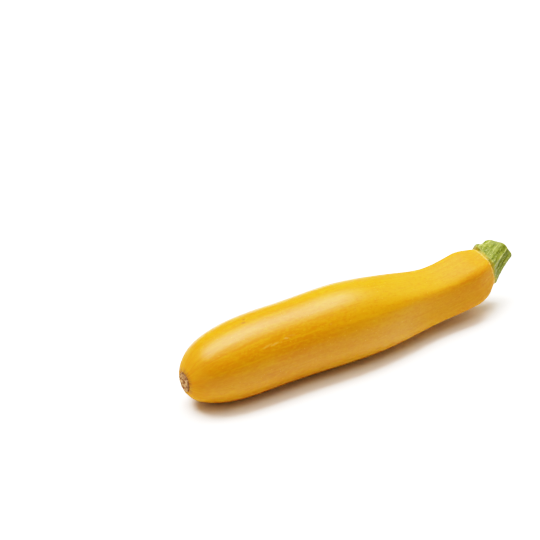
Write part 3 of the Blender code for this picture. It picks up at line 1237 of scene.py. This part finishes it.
@dataclass
class Fruit(Piece):
    """The fruit: its body, its skin's relief, and the two hollows that hold the scar and the stem."""

    name: str = "zucchini_fruit"
    slot: str = "skin"
    node: Optional[str] = "fruit"
    form: FruitForm = FruitForm()
    relief: SkinRelief = SkinRelief()
    finish: SkinFinish = SkinFinish()
    rings: int = 372
    sides: int = 250
    crowding: float = 0.12
    nose_mouth: tuple[Span, ...] = ((5.50, 0.02), (5.32, 0.18), (5.24, 0.5), (5.2, 1.0))
    seat_mouth: tuple[Span, ...] = ((11.3, 0.06), (11.05, 0.28), (10.92, 0.6), (10.88, 1.0))

    def mouth(self, place: float, sizes: Sequence[Span], inward: float, angles: Array) -> Array:
        """The rings that roll the skin into a hollow, from its rim to its floor.

        Args:
            place: The distance along the fruit of the hollow's rim.
            sizes: The radius and depth of each ring.
            inward: 1 where the hollow goes along the fruit, -1 where it goes back.
            angles: Angles round it.

        Returns:
            The points by ring, angle and axis.
        """
        middle, direction = self.form.spot(place)
        radii, depths = np.array(sizes).T[..., None]
        return ring_grid(middle + inward * depths * direction, direction, radii * np.ones_like(angles), angles)

    def build(self) -> None:
        """Makes and dresses the fruit."""
        form, angles = self.form, even_angles(self.sides)
        t = np.linspace(0.0, 1.0, self.rings)
        x = form.length * (t - self.crowding * np.sin(FULL_TURN * t))
        radii = form.radius(x)[:, None] * (1.0 + form.ridge_share(x, angles))
        grain = ring_grid(x[:, None] * AHEAD, AHEAD, np.full_like(radii, form.grain_radius), angles)
        lift = self.relief.lift(form, x, angles, grain)
        middles = form.middle(x) + self.relief.settle(form, x)
        skin = form.press_flat(ring_grid(middles, form.direction(x), radii + lift, angles))
        nose = self.mouth(0.0, self.nose_mouth, 1.0, angles)[::-1]
        seat = self.mouth(form.length, self.seat_mouth, -1.0, angles)
        ends = len(nose), len(seat)
        marks, lifts = (np.pad(part, (ends, *[(0, 0)] * (part.ndim - 1)), "edge") for part in (grain, lift))
        rings = np.concatenate([nose, skin, seat])
        self.settle(mesh_over_rings(self.name, rings, marks, lifts), self.finish.make(form))


@dataclass
class Stem(Piece):
    """The cut stem: its ribbed side and its cut face, which dried a little and sank."""

    name: str = "zucchini_stem"
    slot: str = "stem"
    node: Optional[str] = "stem"
    form: StemForm = StemForm()
    relief: StemRelief = StemRelief()
    finish: StemFinish = StemFinish()
    rings: int = 110
    sides: int = 360
    crowding: float = 1.25
    face_rings: int = 30
    swell: float = 0.45
    swell_start: float = 0.72
    edge_drop: float = 0.9
    edge_start: float = 0.92
    face_crowding: float = 1.3
    face_sink: float = 0.45
    face_edge: Span = (0.97, 0.85)
    face_ring: Swell = Swell(0.10, 0.68, 0.10)
    pith_sink: float = 0.9
    pith_radius: float = 0.26
    pith_points: float = 0.07
    pith_edge: float = 0.16
    grit: tuple[tuple[float, Pattern], ...] = (
        (0.13, Pattern(0.9, 0.9, 71.0)), (0.07, Pattern(0.4, 0.4, 83.0)),
    )
    grit_edge: Span = (0.98, 0.88)
    face_place: float = 0.6
    straight_length: float = 19.0

    def side(
        self, fruit: FruitForm, s: Array, angles: Array, extra: Union[Array, float] = 0.0
    ) -> tuple[Array, Array, Array]:
        """The stem's side surface.

        Args:
            fruit: The fruit's form, which carries the stem.
            s: Places along the stem, 0 at its root and 1 at the cut.
            angles: Angles round it.
            extra: Lift on top of the form and its relief, by place.

        Returns:
            The points, the same points on the straightened stem with angles counted from the first rib, and the
            relief's lift.
        """
        middles, directions = self.form.line(s, fruit)
        radii = self.form.radius(s, angles)
        turned = self.form.rib_angles(s, angles)
        along = np.broadcast_to((s * self.straight_length)[:, None], radii.shape)
        grain = np.stack([along, radii * np.cos(turned), radii * np.sin(turned)], axis=-1)
        lift = self.relief.lift(self.form, s, angles, grain)
        return ring_grid(middles, directions, radii + lift + extra, angles), grain, lift

    def cut_face(self, edge: Array, grain: Array, normal: Array) -> tuple[Array, Array]:
        """The cut face: a dried rim, sunk flesh and a star of pith in the middle.

        Args:
            edge: The points of the side's last ring.
            grain: The same points on the straightened stem.
            normal: The direction that the cut faces.

        Returns:
            The points inside the edge, ring by ring, and the same points on the straightened stem.
        """
        share = 1.0 - np.linspace(0.0, 1.0, self.face_rings + 1)[1:-1, None] ** self.face_crowding
        middle, flat = edge.mean(axis=0), grain.mean(axis=0)
        points = middle + share[..., None] * (edge - middle)
        marks = flat + share[..., None] * (grain - flat)
        marks[..., 0] = self.straight_length + self.face_place
        turned = np.arctan2(marks[..., 2], marks[..., 1])
        star = self.pith_radius + self.pith_points * np.cos(self.form.ribs * turned)
        sink = self.face_sink * rise(share, *self.face_edge) - self.face_ring(share)
        sink = sink + self.pith_sink * smooth_step((star - share) / self.pith_edge)
        rough = sum(height * pattern.on(marks) for height, pattern in self.grit)
        lift = rough * rise(share, *self.grit_edge) - sink
        return points + lift[..., None] * normal, marks

    def build(self, fruit: FruitForm) -> None:
        """Makes and dresses the stem.

        Args:
            fruit: The fruit's form, which carries it.
        """
        angles = even_angles(self.sides)
        s = np.linspace(0.0, 1.0, self.rings) ** self.crowding
        drop = self.edge_drop * np.clip((s - self.edge_start) / (1.0 - self.edge_start), 0.0, 1.0) ** 2
        extra = (self.swell * rise(s, self.swell_start) - drop)[:, None]
        points, grain, lift = self.side(fruit, s, angles, extra)
        face, marks = self.cut_face(points[-1], grain[-1], unit(np.array(self.form.cut_normal)))
        rings, grains = np.concatenate([points, face]), np.concatenate([grain, marks])
        lifts = np.concatenate([lift, np.zeros(face.shape[:2])])
        body = mesh_over_rings(self.name, rings, grains, lifts)
        self.settle(body, self.finish.make(self.form, self.straight_length))


@dataclass
class StemHairs(Piece):
    """The short stiff hairs that stand on the stem's ribs and veins.

    Its profile has a row for each ring of a hair, with its height, its width and how far it bends, as shares.
    """

    name: str = "zucchini_stem_hairs"
    slot: str = "stem"
    finish: HairFinish = HairFinish()
    count: int = 460
    places: Span = (0.1, 0.98)
    rows: int = 20
    row_spread: float = 0.035
    most_ahead: float = 0.7
    sway: float = 0.25
    length: Span = (0.45, 1.0)
    thickness: Span = (0.09, 0.15)
    profile: tuple[Triple, ...] = ((0.0, 1.0, 0.0), (0.3, 0.62, 0.02), (0.65, 0.36, 0.10))
    tip_bend: float = 0.24
    sides: int = 5
    sink: float = 0.12
    near: float = 0.01
    tint_reach: float = 10.0
    seed: int = 7

    def build(self, stem: Stem, fruit: FruitForm) -> None:
        """Makes and dresses the hairs.

        Args:
            stem: The stem that carries them.
            fruit: The fruit's form.
        """
        chance = np.random.default_rng(self.seed)
        hairs = [self.hair(stem, fruit, chance) for _ in range(self.count)]
        points, marks = (np.concatenate(parts) for parts in zip(*hairs))
        faces: Faces = []
        for start in range(0, len(points), len(hairs[0][0])):
            rings = [start + ring * self.sides for ring in range(len(self.profile))]
            faces += [face for low, high in zip(rings, rings[1:]) for face in band(high, low, self.sides)]
            faces += fan(rings[-1] + self.sides, rings[-1], self.sides)
            faces.append(tuple(range(start, start + self.sides))[::-1])
        self.settle(smooth_body(self.name, points, faces, marks), self.finish.make())

    def hair(self, stem: Stem, fruit: FruitForm, chance: np.random.Generator) -> tuple[Array, Array]:
        """One hair, a small bent cone with its root in the stem.

        Args:
            stem: The stem that carries it.
            fruit: The fruit's form.
            chance: Where its place, lean and size are drawn from.

        Returns:
            Its points, ring by ring and then its tip, and what its finish follows at each.
        """
        s = chance.uniform(*self.places)
        rib = chance.integers(self.rows) * (FULL_TURN / self.rows) + chance.normal(0.0, self.row_spread)
        places = np.array([s, s + self.near])
        turned = rib - stem.form.rib_angles(places[:1], np.zeros(1))[0, 0]
        patch, _, _ = stem.side(fruit, places, np.array([turned, turned + self.near]))
        root, ahead, across = patch[0, 0], unit(patch[1, 0] - patch[0, 0]), unit(patch[0, 1] - patch[0, 0])
        outward = unit(np.cross(across, ahead))
        lean = outward + ahead * chance.uniform(0.0, self.most_ahead) + across * chance.normal(0.0, self.sway)
        tall, wide = chance.uniform(*self.length), chance.uniform(*self.thickness)
        up, bent = tall * unit(lean), tall * ahead
        turns = even_angles(self.sides)[:, None]
        circle = wide * (np.cos(turns) * across + np.sin(turns) * ahead)
        base = root - self.sink * outward
        rings = [base + height * up + bend * bent + width * circle for height, width, bend in self.profile]
        points = np.concatenate([*rings, (base + up + self.tip_bend * bent)[None]])
        heights = np.repeat([tall * height for height, _, _ in self.profile], self.sides).tolist() + [tall]
        return points, np.array([(height, s * self.tint_reach, rib) for height in heights])


@dataclass
class BlossomScar(Piece):
    """The dry scar: a disc in the nose's hollow with a crinkled rim, knobs and a pit in the middle."""

    name: str = "zucchini_blossom_scar"
    slot: str = "scar"
    node: Optional[str] = "blossom_scar"
    finish: ScarFinish = ScarFinish()
    radius: float = 5.2
    depth: float = 0.7
    sides: int = 160
    rings: int = 60
    profile: Spline = Spline(
        (0.0, 0.12, 0.3, 0.5, 0.72, 0.88, 0.95, 1.0), (-0.25, -0.1, 0.3, 0.3, 0.12, 0.32, 0.38, 0.05)
    )
    folds: Waves = ((9, 0.0, 0.22), (4, -1.57, 0.10), (15, 1.0, 0.10))
    folds_full_at: float = 0.9
    knob: float = 0.30
    knobs: Pattern = Pattern(1.5, 1.1, 8.3)
    crumb: float = 0.10
    crumbs: Pattern = Pattern(0.5, 0.4, 15.9)
    plain_rim: float = 0.94
    innermost: float = 0.01
    crowding: float = 0.8

    def lift(self, share: Array, angles: Array) -> tuple[Array, Array, Array]:
        """The scar's crinkled face.

        Args:
            share: Distances from the scar's middle, 1 at its rim.
            angles: Angles round it.

        Returns:
            The lift in front of the blossom end, and the points' level and upward places in the scar's plane.
        """
        flat_y, flat_z = -self.radius * share * np.cos(angles), self.radius * share * np.sin(angles)
        plane = np.stack([np.zeros_like(flat_y), flat_y, flat_z], axis=-1)
        lift = self.profile(share) * np.ones_like(angles)
        for count, start, height in self.folds:
            lift = lift + height * np.cos(count * angles + start) * rise(share, 0.0, self.folds_full_at)
        rough = self.knob * self.knobs.on(plane) + self.crumb * self.crumbs.on(plane)
        return lift + rise(share, 1.0, self.plain_rim) * rough, flat_y, flat_z

    def build(self, fruit: FruitForm) -> None:
        """Makes and dresses the scar, with a flat back that closes its rim.

        Args:
            fruit: The fruit's form, which carries it.
        """
        middle, direction = fruit.spot(0.0)
        share = np.linspace(1.0, self.innermost, self.rings)[:, None] ** self.crowding
        lift, flat_y, flat_z = self.lift(share, even_angles(self.sides))
        level, up = square_axes(direction)
        face = middle + flat_y[..., None] * level + flat_z[..., None] * up - lift[..., None] * direction
        back = middle + (face[:1] - middle) * (1.0 - AHEAD) + self.depth * direction
        inner = middle + (back - middle) * (0.5 + 0.5 * AHEAD)
        rings = np.concatenate([inner, back, face])[::-1]
        marks = np.pad(np.stack([lift, flat_y, flat_z], axis=-1), ((2, 0), (0, 0), (0, 0)), "edge")[::-1]
        self.settle(mesh_over_rings(self.name, rings, marks), self.finish.make())


def bearing(turn: float, height: float) -> Vector:
    """The direction from the zucchini to something, by its turn from the front towards +X and its height."""
    level = math.cos(height)
    return Vector((math.sin(turn) * level, -math.cos(turn) * level, math.sin(height)))


def aim(body: Body, back: Vector) -> None:
    """Turns a light or camera to look along -back."""
    body.rotation_euler = (-back).to_track_quat("-Z", "Y").to_euler()


@dataclass(frozen=True)
class Softbox:
    """A large soft light aimed at the zucchini.

    Its angles are in degrees, and its spread is how far it reaches to either side of its middle.
    """

    name: str
    turn: float
    height: float
    spread: Span
    radiance: float
    distance: float = 2.5

    def hang(self) -> None:
        """Makes the light and hangs it."""
        towards = bearing(math.radians(self.turn), math.radians(self.height))
        wide, tall = (2.0 * self.distance * math.tan(math.radians(angle)) for angle in self.spread)
        lamp = bpy.data.lights.new(self.name, "AREA")
        lamp.shape = "RECTANGLE"
        lamp.size, lamp.size_y = wide, tall
        lamp.energy = self.radiance * math.pi * wide * tall
        body = add_body(self.name, lamp)
        body.location = towards * self.distance
        aim(body, towards)


@dataclass(frozen=True)
class PictureResponse:
    """How the picture answers to light: a slow start that keeps dark colours pure, and soft towards white."""

    points: tuple[Span, ...] = (
        (0.0, 0.0), (0.03, 0.008), (0.08, 0.056), (0.2, 0.23), (0.4, 0.5), (0.7, 0.77), (1.0, 0.9), (1.4, 1.0),
    )

    def apply(self, settings: bpy.types.ColorManagedViewSettings) -> None:
        """Sets the scene's colour management.

        Args:
            settings: The scene's view settings.
        """
        settings.view_transform = "Standard"
        settings.use_curve_mapping = True
        mapping = settings.curve_mapping
        mapping.clip_max_x = mapping.clip_max_y = self.points[-1][0]
        *channels, curve = mapping.curves
        curve.points[0].location, curve.points[-1].location = self.points[0], self.points[-1]
        for place in self.points[1:-1]:
            curve.points.new(*place)
        for channel in channels:
            channel.points[-1].location = (self.points[-1][0],) * 2
        mapping.update()


@dataclass(frozen=True)
class PhotoCamera:
    """The camera at the photograph's viewing angle, with its target in millimetres from the blossom end."""

    azimuth: float = math.radians(-31)
    elevation: float = math.radians(30)
    distance: float = 910.0
    target: Triple = (112.2, 99.7, 0.0)
    focal_pixels: float = 1515.0
    image_pixels: float = 540.0
    sensor: float = 36.0
    clip: Span = (0.01, 100.0)

    def place(self) -> None:
        """Makes the camera, aims it and gives it to the scene."""
        lens = bpy.data.cameras.new("photo_camera")
        lens.sensor_width = self.sensor
        lens.lens = self.sensor * self.focal_pixels / self.image_pixels
        lens.clip_start, lens.clip_end = self.clip
        back = bearing(self.azimuth, self.elevation)
        body = add_body("photo_camera", lens)
        body.location = Vector((np.array(self.target) - ORIGIN) * MM) + back * (self.distance * MM)
        aim(body, back)
        bpy.context.scene.camera = body


@dataclass
class Studio:
    """The plain pale ground, the soft light, the dim room round them and the camera."""

    ground_width: float = 30.0
    ground_drop: float = 0.00005
    room: float = 0.38
    room_tint: Colour = (1.0, 0.81, 0.62)
    lights: tuple[Softbox, ...] = (
        Softbox("back_softbox", 180.0, 75.0, (32.0, 17.0), 10.0),
        Softbox("top_softbox", 0.0, 82.5, (36.0, 24.0), 1.2),
        Softbox("right_wall", 90.0, 28.0, (25.0, 22.0), 0.3),
    )
    response: PictureResponse = PictureResponse()
    camera: PhotoCamera = PhotoCamera()
    finish: GroundFinish = GroundFinish()

    def ground(self) -> None:
        """Makes the flat ground."""
        half, level = self.ground_width / 2.0, -self.ground_drop
        square = [(-half, -half, level), (half, -half, level), (half, half, level), (-half, half, level)]
        mesh = bpy.data.meshes.new("pale_ground")
        mesh.from_pydata(square, [], [(0, 1, 2, 3)])
        mesh.materials.append(self.finish.make())
        body = add_body("pale_ground", mesh)

    def build(self) -> None:
        """Makes the whole studio."""
        self.ground()
        for light in self.lights:
            light.hang()
        self.camera.place()
        world = bpy.data.worlds.new("dim_room")
        world.use_nodes = True
        light = world.node_tree.nodes["Background"].inputs
        light["Color"].default_value, light["Strength"].default_value = (*self.room_tint, 1.0), self.room
        bpy.context.scene.world = world
        self.response.apply(bpy.context.scene.view_settings)
        log.info("studio: ground, softboxes, room and camera")


def main() -> None:
    """Builds every piece round the frame, then the studio."""
    logging.basicConfig(level=logging.INFO, format="%(name)s: %(message)s")
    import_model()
    fruit = Fruit()
    fruit.build()
    stem = Stem()
    stem.build(fruit.form)
    StemHairs().build(stem, fruit.form)
    BlossomScar().build(fruit.form)
    Studio().build()


if __name__ == "__main__":
    main()
